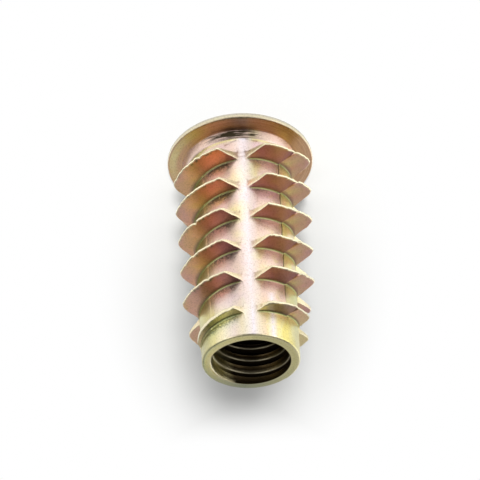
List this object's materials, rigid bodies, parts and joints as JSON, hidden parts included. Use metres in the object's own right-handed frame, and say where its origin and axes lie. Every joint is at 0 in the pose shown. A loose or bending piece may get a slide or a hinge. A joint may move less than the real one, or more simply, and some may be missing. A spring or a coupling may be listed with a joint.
{
  "type": "threaded insert",
  "caption": "Flanged screw-in threaded insert for wood: die-cast bush with a notched coarse outer thread, a hexagon drive socket in the flange and a metric threaded hole.",
  "frame": {"origin": "centre of the flange's outer face, which the insert stands on", "axes": "+Z along the insert's axis, from the flange to the nose; -Y towards one of the four lengthwise notches"},
  "size_m": [0.015, 0.015, 0.025],
  "materials": {
    "chromated_zinc": "satin zinc die casting with an iridescent yellow chromate: straw yellow, pink and red-brown"
  },
  "bodies": {
    "root": {"insert": "chromated_zinc"}
  },
  "joints": []
}
